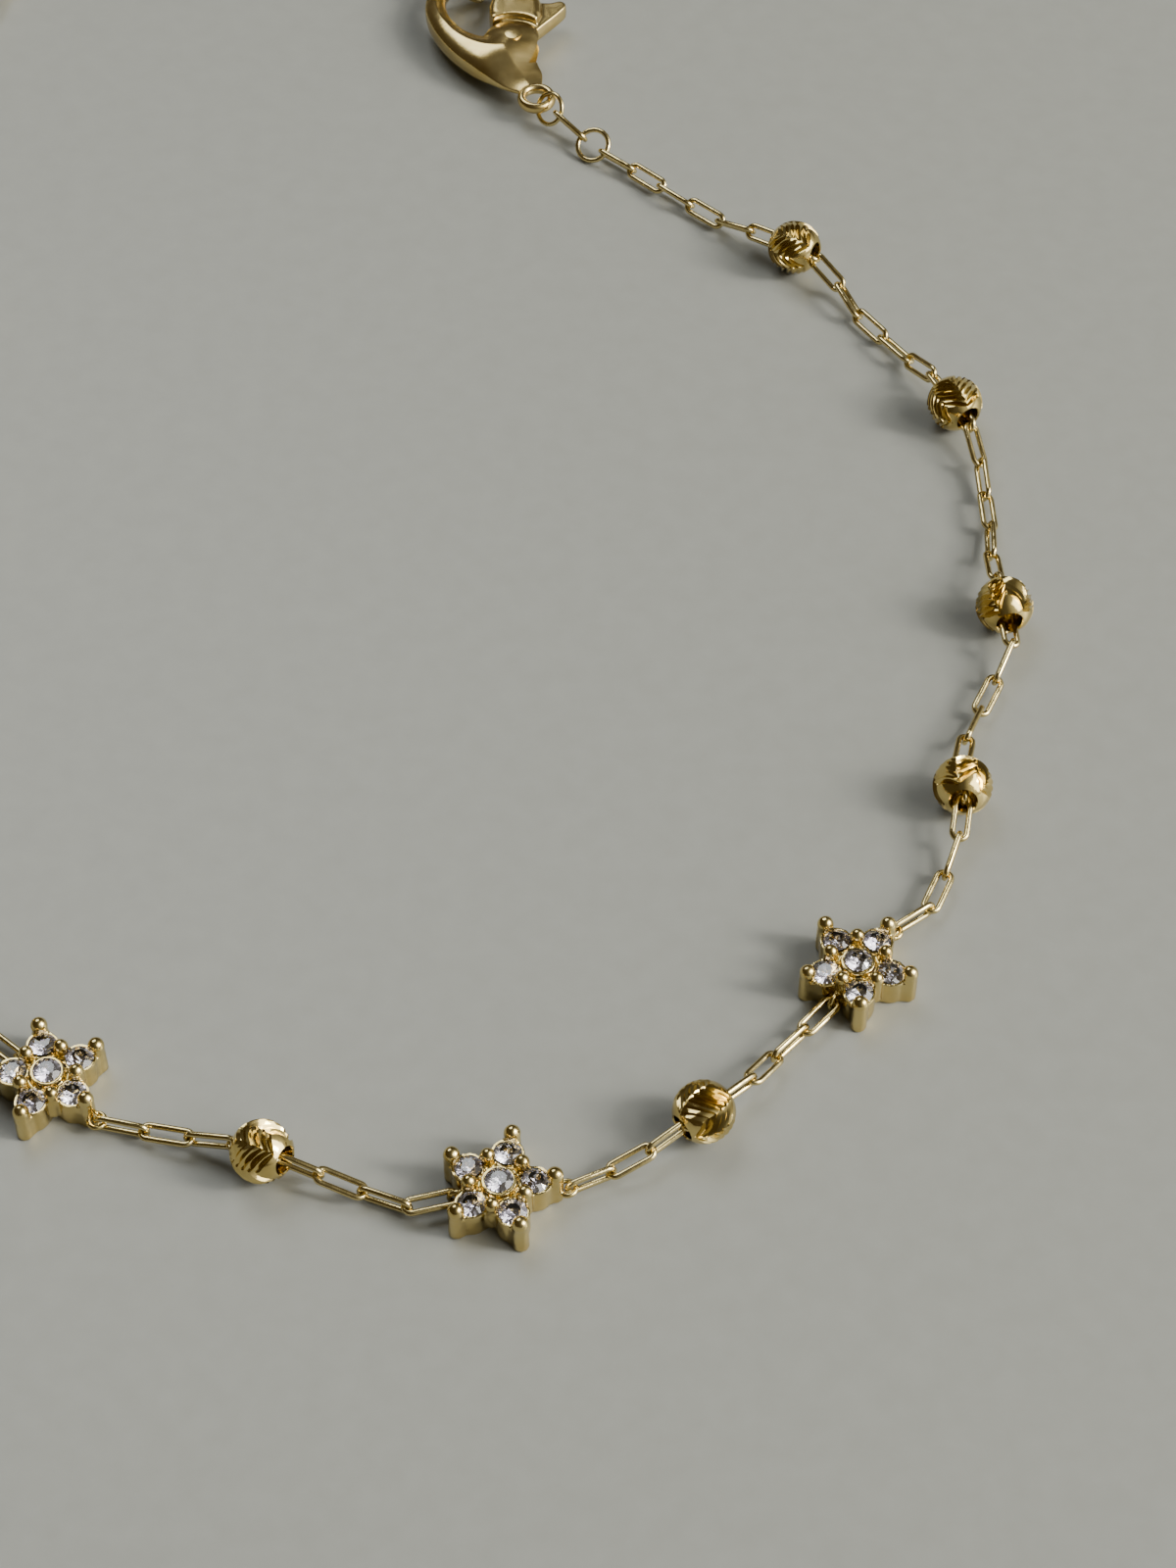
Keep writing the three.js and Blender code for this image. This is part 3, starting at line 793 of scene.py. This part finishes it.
def bead_skin(settings, place, chance):
    """A drilled ball cut all round with bands of zigzag grooves, stroke by stroke."""
    radius, bore, depth = mm(settings.radius), mm(settings.bore), mm(settings.groove_depth)
    strokes = range(settings.zigzags * 2)
    spacing, swing, knee = radians(GROOVE_SPACING), radians(GROOVE_SWING), radians(BAND_KNEE)
    rim = math.acos(bore / radius)
    edge = spacing * GROOVE_COUNT / 2
    room = rim - knee - radians(BAND_MARGIN)
    starts = shares_of([chance.uniform(*STRAY["length"]) for _ in strokes])
    apexes = [swing * (1 if i % 2 else -1) * chance.uniform(*STRAY["swing"]) for i in strokes]
    shifts = [spacing * chance.uniform(*STRAY["shift"]) for _ in strokes]
    valleys = [chance.choice(GROOVE_VALLEYS) / GROOVE_STEPS for _ in strokes]
    depths = [
        [depth * chance.uniform(*STRAY["depth"]) for _ in strokes] for _ in range(GROOVE_COUNT)]
    offset = chance.uniform(0, 2 * pi)
    columns = []  # stroke, part of the way along it, turn about the hole, wave of the band
    for stroke in strokes:
        length = starts[stroke + 1] - starts[stroke]
        for i in range(STROKE_PARTS + 1):
            part = i / STROKE_PARTS
            share = starts[stroke] + length * (STROKE_GAP + (1 - 2 * STROKE_GAP) * part)
            wave = apexes[stroke] * (1 - part) + apexes[(stroke + 1) % len(strokes)] * part
            columns.append((stroke, part, 2 * pi * share + offset, wave + shifts[stroke]))

    def held(latitude):
        """Keeps the band of grooves short of the hole."""
        over = abs(latitude) - knee
        if over <= 0:
            return latitude
        return math.copysign(knee + room * (1 - math.exp(-over / room)), latitude)

    def row(latitude_of, cut_of):
        """Points round the bead, from the latitude of a wave and the cut at a part of a stroke."""
        points = []
        for stroke, part, turn, wave in columns:
            latitude, reach = latitude_of(wave), radius - cut_of(stroke, part)
            points.append(place @ Vector((
                reach * sin(latitude), reach * cos(latitude) * cos(turn),
                reach * cos(latitude) * sin(turn))))
        return points

    def collar(side):
        """Plain polished rows from the hole on one side up to the band."""
        rows = []
        for i in range(COLLAR_ROWS):
            rows.append(row(
                lambda wave, up=i / COLLAR_ROWS:
                    side * rim + (held(wave + side * edge) - side * rim) * up,
                lambda stroke, part: 0.0))
        return rows

    def groove(which, share):
        """Cut at a share of the way across a groove, deepest midway along a stroke."""
        def cut(stroke, part):
            valley = valleys[stroke]
            wall = share / valley if share < valley else (1 - share) / (1 - valley)
            return depths[which][stroke] * wall * (0.5 + 0.5 * sin(pi * part))
        return cut

    rings = collar(-1)
    for i in range(GROOVE_COUNT * GROOVE_STEPS + 1):
        across = i / GROOVE_STEPS
        which = min(i // GROOVE_STEPS, GROOVE_COUNT - 1)
        rings.append(row(
            lambda wave, up=across: held(wave - edge + up * spacing),
            groove(which, across - which)))
    rings += reversed(collar(1))
    height = radius * sin(rim)
    for level, inside in BORE_ROWS:
        rings.append([
            place @ Vector((height * level, bore * inside * cos(turn), bore * inside * sin(turn)))
            for _, _, turn, _ in columns])
    return sweep(rings, closed=True)


class BRACELET_OT_beads(bpy.types.Operator):
    """Cut the grooved beads and set them on the chain"""

    bl_idname = "bracelet.beads"
    bl_label = "Beads"

    def execute(self, context):
        settings = context.scene.bracelet_beads
        gold = gold_finish(
            "bead_gold", settings.gold, roughness=(0.06, 0.18), waviness=0.1, scratches=0.06)
        beads = [s for run in RUNS for s in run["stations"] if s["kind"] == "bead"]
        chance = random.Random(25)
        for i, station in enumerate(beads):
            turn, rise = station["cock"]
            line = direction(station["heading"] + turn, station["tilt"] + rise)
            centre = bead_centre(station)
            place = link_frame(centre - line, centre + line, 0)
            name = f"bead_{i + 1:02d}"
            mesh = mesh_of(name, *bead_skin(settings, place, chance))
            add_piece(name, mesh, gold, crease=18)
        return {"FINISHED"}


# ----------------------
# Star settings


def star_turns(shift=0.0):
    """Directions of the arms, the first pointing back along the chain; a shift is in arms."""
    return [pi + turn for turn in turns(ARM_COUNT, shift)]


def star_outline():
    """Five arms that swell round their stone and end in a round column."""
    corners = [*ARM_SIDE, ARM_TIP, *[(x, -y) for x, y in reversed(ARM_SIDE)]]
    outline = []
    for turn in star_turns():
        outline += [
            (x * cos(turn) - y * sin(turn), x * sin(turn) + y * cos(turn)) for x, y in corners]
        outline.append(tuple(polar(NOTCH_AT, turn + pi / ARM_COUNT).xy))
    return outline


def prong_skin(radius, foot, top, place):
    """A round column with a slight waist and a rounded top."""
    waist, neck, dome_rise = 0.95, 1.7, 1.12
    profile = [(0.0, foot), (radius, foot), (radius * waist, top - radius * neck)]
    profile += [
        (radius * cos(radians(angle)), top + radius * (dome_rise * sin(radians(angle)) - dome_rise))
        for angle in (-20, 0, 15, 30, 45, 60, 75, 90)]
    return turned(profile, 24, place)


def star_setting_mesh(settings):
    """One cast setting in its own frame, with seats cut for six stones."""
    wall, top = mm(settings.wall), mm(settings.prong)
    cup_top = wall + CUP_RISE
    shell = bmesh.new()

    def add_prong(prong, turn):
        skin = prong_skin(
            prong["radius"], prong["foot"], top - prong["below"], moved(prong["at"], turn))
        stock(shell, *skin)

    stock(shell, *prism(star_outline(), 0.0, wall - PLATE_BELOW))
    cup = [(0.0, 0.0), (0.64, 0.0), (0.67, 0.25), (0.66, cup_top), (0.0, cup_top)]
    for turn in star_turns():
        stock(shell, *turned(cup, 36, moved(CUP_AT, turn)))
        add_prong(OUTER_PRONG, turn)
    for turn in star_turns(0.5):
        add_prong(INNER_PRONG, turn)
    collar = [(0.0, 0.5), (0.78, 0.5), (0.72, 1.1), (0.68, COLLAR_TOP), (0.0, COLLAR_TOP)]
    stock(shell, *turned(collar, 36))
    tip = moved(TIP_EYE_AT, pi, EYE_HEIGHT)
    notch = moved(NOTCH_EYE_AT, 0, EYE_HEIGHT) @ Matrix.Rotation(pi / 2, 4, "X")
    for place in (tip, notch):
        stock(shell, *torus(EYE_RADIUS, EYE_WIRE / 2, EYE_WIRE / 2, place, around=28, section=10))
    body = fuse("setting", shell, mm(settings.grain), rounds=3)

    def seat(distance, turn, rim):
        profile = [(radius, rim + height) for radius, height in SEAT]
        return turned(profile, 32, moved(distance, turn))

    cutters = [seat(0.0, 0.0, COLLAR_TOP)] + [seat(CUP_AT, turn, cup_top) for turn in star_turns()]
    return carve("setting", body, cutters)


class BRACELET_OT_settings(bpy.types.Operator):
    """Cast the three star settings"""

    bl_idname = "bracelet.settings"
    bl_label = "Star settings"

    def execute(self, context):
        settings = context.scene.bracelet_stars
        gold = gold_finish("setting_gold", settings.gold, roughness=(0.07, 0.22), waviness=0.3)
        pattern = star_setting_mesh(settings)
        for star in STARS:
            mesh = pattern.copy()
            mesh.transform(set_down(star["x"], star["y"], 0.0, star["heading"]))
            add_piece(f"star_{star['name']}_setting", mesh, gold, crease=40)
        return {"FINISHED"}


# ----------------------
# Stones


def brilliant_skin(radius, table, place):
    """A round brilliant: table, stars, kites and halves over a pavilion of mains and halves."""
    crown, girdle, pavilion = 0.30 * radius, 0.025 * radius, 0.80 * radius
    star_height, foot_reach, foot_depth = crown * 0.58, 0.24 * radius, pavilion * 0.78

    def ring(count, reach, height, shift=0.0):
        return [place @ polar(reach, turn, height) for turn in turns(count, shift)]

    vertices = [
        *ring(8, table * radius, crown),
        *ring(8, 0.5 * (1 + table) * radius, star_height, 0.5),
        *ring(16, radius, girdle),
        *ring(16, radius, -girdle),
        *ring(8, foot_reach, -foot_depth, 0.5),
        place @ Vector((0, 0, -pavilion)),
    ]
    star, upper, lower, foot, culet = 8, 16, 32, 48, 56  # where each ring's points start
    faces = [tuple(range(8))]
    for k in range(8):
        after, edge = (k + 1) % 8, 2 * k
        before = (k - 1) % 8
        middle, beyond = edge + 1, (edge + 2) % 16
        faces += [
            (k, star + k, after),
            (k, star + before, upper + edge, star + k),
            (star + k, upper + edge, upper + middle),
            (star + k, upper + middle, upper + beyond),
            (upper + edge, lower + edge, lower + middle, upper + middle),
            (upper + middle, lower + middle, lower + beyond, upper + beyond),
            (foot + k, lower + middle, lower + edge),
            (foot + k, lower + beyond, lower + middle),
            (culet, foot + k, lower + edge, foot + before),
        ]
    return vertices, faces


class BRACELET_OT_stones(bpy.types.Operator):
    """Cut the stones and set them in the stars"""

    bl_idname = "bracelet.stones"
    bl_label = "Stones"

    def execute(self, context):
        settings = context.scene.bracelet_stones
        wall = mm(context.scene.bracelet_stars.wall)
        crystal = crystal_finish("stone", settings.tint)
        foil = foil_finish("stone_foil", settings.tint)
        chance = random.Random(18)
        for star in STARS:
            station = set_down(star["x"], star["y"], 0.0, star["heading"])
            seats = [("centre_stone", 0.0, 0.0, CENTRE_GIRDLE, 0)]
            seats += [
                (f"arm_stone_{arm + 1}", CUP_AT, turn, wall + ARM_GIRDLE_RISE, ARM_STONE_LEAN)
                for arm, turn in enumerate(star_turns())]
            for label, distance, turn, height, outward in seats:
                angle = radians(outward) + radians(chance.uniform(-STONE_STRAY, STONE_STRAY))
                lean = Matrix.Rotation(angle, 4, Vector((-sin(turn), cos(turn), 0)))
                spin = Matrix.Rotation(chance.uniform(0, pi), 4, "Z")
                place = station @ moved(distance, turn, height) @ lean @ spin
                name = f"star_{star['name']}_{label}"
                skin = brilliant_skin(mm(settings.radius), settings.table, place)
                stone = add_piece(name, mesh_of(name, *skin), crystal, crease=1).data
                stone.materials.append(foil)
                for facet in stone.polygons:
                    facet.material_index = 1 if facet.normal.z < FOIL_FACING else 0
        return {"FINISHED"}


# ----------------------
# Clasp

BODY_EDGE = 0.42
DOME_RISE, DOME_REACH = 0.55, 1.9  # share of the thickness lost at the edge, and how far in
TAIL_SHARE, HOOK_LOSS = 0.28, 0.45
SLOT_RADIUS, SLOT_HALF = 1.8, 0.45
TAIL_HOLE = 0.6
TAIL_EYE = (0.735, 0.215, 0.28)  # radius, half width, half height
RIVET_RADIUS, RIVET_HALF = 0.3, 0.9
RIVET_HEAD = (  # radius, share of the body's half thickness
    (0.0, 0.85), (0.42, 0.85), (0.42, 0.98), (0.34, 1.0), (0.0, 1.0))
GATE_HALF, GATE_EDGE = 0.75, 0.34
BLADE_HALF, BLADE_EDGE, BLADE_BORE = 0.4, 0.1, 0.38
LEVER_GRAIN = 0.8  # of the body's


def through(knots, steps):
    """Points of a smooth curve through knots of equal length, each a list of numbers."""
    ends = [knots[0], *knots, knots[-1]]
    points = []
    for a, b, c, d in zip(ends, ends[1:], ends[2:], ends[3:]):
        for i in range(steps):
            t = i / steps
            points.append([
                0.5 * (2 * q + (r - p) * t + (2 * p - 5 * q + 4 * r - s) * t * t
                       + (3 * q - p - 3 * r + s) * t ** 3)
                for p, q, r, s in zip(a, b, c, d)])
    points.append(list(knots[-1]))
    return points


def bow(centre, radius, start, end, steps=24):
    """Points of an arc between two angles in degrees."""
    angles = [radians(start + (end - start) * i / steps) for i in range(steps + 1)]
    return [[centre[0] + radius * cos(angle), centre[1] + radius * sin(angle)] for angle in angles]


def rounded_plate(outline, half, round_off, steps=6):
    """Points and faces of a flat outline, taken anticlockwise, with fully rounded edges."""
    count = len(outline)
    inward = []
    for i in range(count):
        ahead, behind = outline[(i + 1) % count], outline[i - 1]
        along = Vector((ahead[0] - behind[0], ahead[1] - behind[1])).normalized()
        inward.append(Vector((-along.y, along.x)))
    rings = []
    for i in range(-steps, steps + 1):
        angle = pi / 2 * i / steps
        inset = round_off * (1 - cos(angle))
        height = (half - round_off) * (1 if i > 0 else -1 if i < 0 else 0) + round_off * sin(angle)
        rings.append([
            Vector((x + inset * step.x, y + inset * step.y, height))
            for (x, y), step in zip(outline, inward)])
    return sweep(rings, closed=False)


def dome(mesh, outline, rise, reach):
    """Thins a body towards its outline, so that its faces are domed."""
    edge = kdtree.KDTree(len(outline))
    for i, (x, y) in enumerate(outline):
        edge.insert((x, y, 0), i)
    edge.balance()
    for vertex in mesh.vertices:
        x, y, z = vertex.co
        t = min(edge.find((x, y, 0))[2] / reach, 1.0)
        vertex.co.z = z * (1 - rise * (1 - t) ** 2)


def ease(low, high, value):
    """0 below low, 1 above high and a smooth step between them."""
    t = min(max((value - low) / (high - low), 0.0), 1.0)
    return t * t * (3 - 2 * t)


def swell(u):
    """Share of the clasp's thickness along it: thin at the tail, full at the waist."""
    return (TAIL_SHARE + (1 - TAIL_SHARE) * ease(0.8, 3.4, u)) * (1 - HOOK_LOSS * ease(6.4, 9.6, u))


def disc(centre, radius, low, high, sides=48):
    """A plain round disc."""
    place = Matrix.Translation((*centre, 0))
    return turned([(0.0, low), (radius, low), (radius, high), (0.0, high)], sides, place)


def clasp_outline():
    """Body from the neck round the cheeks, the inside of the hook, its tip and its back."""
    cheek = bow(PIVOT, 1.6, -75, 50)
    side = through([
        [0.55, -0.5], [1.4, -0.93], [2.2, -1.02], [3.1, -1.5], [3.75, -1.88], cheek[0]], 6)
    inside = through([
        cheek[-1], [5.3, 1.15], [6.0, 1.5], [7.2, 1.65], [8.5, 1.25], [9.25, 0.15], [8.95, -0.95],
        [8.45, -1.2], [7.89, -1.15]], 8)
    tip = bow(PIVOT, 4.05, -10, -35.5, 8)
    back = through([
        [7.2, -2.8], [8.5, -2.45], [9.6, -1.5], [10.1, 0.0], [9.75, 1.35], [8.5, 2.4], [6.8, 2.8],
        [4.8, 2.65], [3.1, 2.1], [1.9, 1.5], [1.2, 1.08], [0.55, 0.5]], 8)
    return side + cheek[1:-1] + inside[:-1] + tip[:-1] + back


def clasp_body_mesh(settings):
    """Body, tail eye and hook, with a slot for the lever and its rivet."""
    half = mm(settings.thickness) / 2
    outline = clasp_outline()
    shell = bmesh.new()
    stock(shell, *rounded_plate(outline, half, BODY_EDGE))
    body = fuse("clasp_body", shell, mm(settings.grain), rounds=10)
    dome(body, outline, DOME_RISE, DOME_REACH)
    for vertex in body.vertices:
        vertex.co.z *= swell(vertex.co.x)
    slot = disc(PIVOT, SLOT_RADIUS, -SLOT_HALF, SLOT_HALF, 64)
    body = carve("clasp_body", body, [slot, disc((0, 0), TAIL_HOLE, -1, 1)])
    shell = bmesh.new()
    shell.from_mesh(body)
    stock(shell, *torus(*TAIL_EYE, Matrix()))
    stock(shell, *disc(PIVOT, RIVET_RADIUS, -RIVET_HALF, RIVET_HALF, 32))
    for side in (-1, 1):
        place = Matrix.Translation((*PIVOT, 0)) @ Matrix.Scale(side, 4, (0, 0, 1))
        stock(shell, *turned([(r, z * half) for r, z in RIVET_HEAD], 32, place))
    return written(shell, body)


def clasp_lever_mesh(settings):
    """Hinged gate with its thumb tab."""
    gate = bow(PIVOT, 1.72, -66, 14)
    outer = through([[5.1, -2.5], [6.1, -2.85], [6.95, -2.76]], 8)
    end = bow(PIVOT, 3.9, -36, -10.5, 10)
    inner = through([[7.72, -1.1], [7.1, -0.6], [6.4, -0.2], gate[-1]], 8)
    gate_outline = outer + end + inner[:-1] + gate[::-1]
    blade = bow(PIVOT, 0.8, 75, 250) + through([[4.25, -1.9], [4.6, -2.6]], 4)
    blade += through([[4.6, -2.6], [5.0, -3.4], [5.4, -3.98], [5.85, -3.88], [5.95, -3.3],
                      [6.25, -2.7]], 6)[1:]
    blade += [[6.2, -1.6], [5.75, -0.6]]
    shell = bmesh.new()
    stock(shell, *rounded_plate(gate_outline, GATE_HALF, GATE_EDGE))
    stock(shell, *rounded_plate(blade, BLADE_HALF, BLADE_EDGE, steps=2))
    lever = fuse("clasp_lever", shell, mm(settings.grain) * LEVER_GRAIN, rounds=4)
    return carve("clasp_lever", lever, [disc(PIVOT, BLADE_BORE, -1.0, 1.0, 32)])


class BRACELET_OT_clasp(bpy.types.Operator):
    """Cast the lobster clasp and hang its lever"""

    bl_idname = "bracelet.clasp"
    bl_label = "Clasp"

    def execute(self, context):
        settings = context.scene.bracelet_clasp
        gold = gold_finish(
            "clasp_gold", settings.gold, roughness=(0.22, 0.27), waviness=0.06, scratches=0.04)
        for name, cast, rides in (
                ("clasp_body", clasp_body_mesh, "bracelet"),
                ("clasp_lever", clasp_lever_mesh, "clasp_lever")):
            mesh = cast(settings)
            mesh.transform(set_down(*CLASP_AT, CLASP_MIDDLE, CLASP_HEADING))
            add_piece(name, mesh, gold, crease=40, body=rides)
        return {"FINISHED"}


# ----------------------
# Stage


# In metres, but for the camera's sensor and lens
TABLE_HALF = 2.0
TABLE_DROP = 0.00003
SENSOR, LENS = 36, 80.08
NEAR, FAR = 0.005, 20
LIGHTS = (  # "share" is of the window light's power
    {"name": "window", "place": (0.60, -0.15, 0.40), "size": (0.7, 0.6), "share": 1.0,
     "colour": (1.0, 0.98, 0.93)},
    {"name": "pane", "place": (0.60, -0.13, 0.38), "size": (0.13, 0.22), "share": 0.7,
     "colour": (1.0, 0.97, 0.90)},
    {"name": "ceiling", "place": (-0.25, 0.45, 0.65), "size": (0.5, 0.4), "share": 0.35,
     "colour": (0.93, 0.97, 1.0)},
)
WINDOW_WAY = (0.86, -0.22, 0.45)
ROOM_TONES = (  # how far towards the window, colour
    (0.0, (0.085, 0.066, 0.036)), (0.45, (0.14, 0.13, 0.105)), (0.95, (0.95, 0.94, 0.88)))
ROOM_STRENGTH = 0.8
WALL_COLOUR = (0.30, 0.30, 0.28, 1)


def add_light(row, aim, key):
    """A soft rectangular light that looks at a point."""
    light = bpy.data.lights.new(row["name"], "AREA")
    light.shape = "RECTANGLE"
    light.size, light.size_y = row["size"]
    light.energy = key * row["share"]
    light.color = row["colour"]
    lamp = bring_in(row["name"], light)
    lamp.location = row["place"]
    lamp.rotation_euler = (aim - lamp.location).to_track_quat("-Z", "Y").to_euler()


def add_table(colour):
    """The table top, just under the pieces that rest on it."""
    corners = [(x * TABLE_HALF, y * TABLE_HALF, 0) for x, y in ((-1, -1), (1, -1), (1, 1), (-1, 1))]
    top = mesh_of("table_top", corners, [(0, 1, 2, 3)])
    top.materials.append(table_finish("table_lacquer", colour))
    table = bring_in("table_top", top)
    table.location.z = -TABLE_DROP


def add_camera(aim, elevation, distance):
    """A camera in front of the bracelet that looks down at a point."""
    camera = bpy.data.cameras.new("camera")
    camera.sensor_width = SENSOR
    camera.lens = LENS
    camera.clip_start = NEAR
    camera.clip_end = FAR
    eye = bring_in("camera", camera)
    eye.location = aim + Vector((0, -cos(elevation), sin(elevation))) * distance
    eye.rotation_euler = (pi / 2 - elevation, 0, 0)
    bpy.context.scene.camera = eye


def add_room():
    """A dim room, bright towards the window, that lights the scene behind a plain pale wall."""
    world = bpy.data.worlds.new("room")
    add = node_maker(world)
    towards = add("ShaderNodeTexCoord").outputs["Generated"]
    window = add("ShaderNodeVectorMath", {0: towards, 1: WINDOW_WAY}, operation="DOT_PRODUCT")
    glow = add("ShaderNodeValToRGB", {"Fac": window.outputs["Value"]})
    glow.color_ramp.interpolation = "EASE"
    ramp(glow, *ROOM_TONES)
    room = add("ShaderNodeBackground", {"Color": glow.outputs["Color"], "Strength": ROOM_STRENGTH})
    wall = add("ShaderNodeBackground", {"Color": WALL_COLOUR, "Strength": 1.0})
    seen = add("ShaderNodeLightPath").outputs["Is Camera Ray"]
    both = add("ShaderNodeMixShader", {0: seen, 1: room.outputs[0], 2: wall.outputs[0]})
    add("ShaderNodeOutputWorld", {"Surface": both.outputs["Shader"]})
    bpy.context.scene.world = world


class BRACELET_OT_stage(bpy.types.Operator):
    """Lay the table top and set the lights and the camera"""

    bl_idname = "bracelet.stage"
    bl_label = "Table, lights and camera"

    def execute(self, context):
        settings = context.scene.bracelet_stage
        aim = -BOX_CENTRE * METRE
        add_table(settings.table)
        add_camera(aim, settings.elevation, settings.distance)
        for row in LIGHTS:
            add_light(row, aim, settings.key)
        add_room()
        return {"FINISHED"}


# ----------------------
# Panel and registration

OPERATORS = (
    BRACELET_OT_stage,
    BRACELET_OT_chains,
    BRACELET_OT_rings,
    BRACELET_OT_beads,
    BRACELET_OT_settings,
    BRACELET_OT_stones,
    BRACELET_OT_clasp,
)


class BRACELET_PT_workshop(bpy.types.Panel):
    """Sizes, finishes and the steps of making"""

    bl_label = "Star Station Bracelet"
    bl_space_type = "VIEW_3D"
    bl_region_type = "UI"
    bl_category = "Bracelet"

    def draw(self, context):
        for name, group in SETTINGS.items():
            column = self.layout.column(heading=group.__doc__)
            for prop in group.__annotations__:
                column.prop(getattr(context.scene, name), prop)
        for operator in OPERATORS:
            self.layout.operator(operator.bl_idname)


CLASSES = (*SETTINGS.values(), *OPERATORS, BRACELET_PT_workshop)


def register():
    """Registers the settings, the operators and the panel."""
    for cls in CLASSES:
        bpy.utils.register_class(cls)
    for name, group in SETTINGS.items():
        setattr(bpy.types.Scene, name, PointerProperty(type=group))


def unregister():
    """Takes them away again."""
    for name in SETTINGS:
        delattr(bpy.types.Scene, name)
    for cls in reversed(CLASSES):
        bpy.utils.unregister_class(cls)


def main():
    """Builds the bracelet on its stage and writes its size before and after."""
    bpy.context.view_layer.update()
    register()
    bpy.ops.bracelet.stage()
    bpy.ops.bracelet.chains()
    bpy.ops.bracelet.rings()
    bpy.ops.bracelet.beads()
    bpy.ops.bracelet.settings()
    bpy.ops.bracelet.stones()
    bpy.ops.bracelet.clasp()


if __name__ == "__main__":
    main()
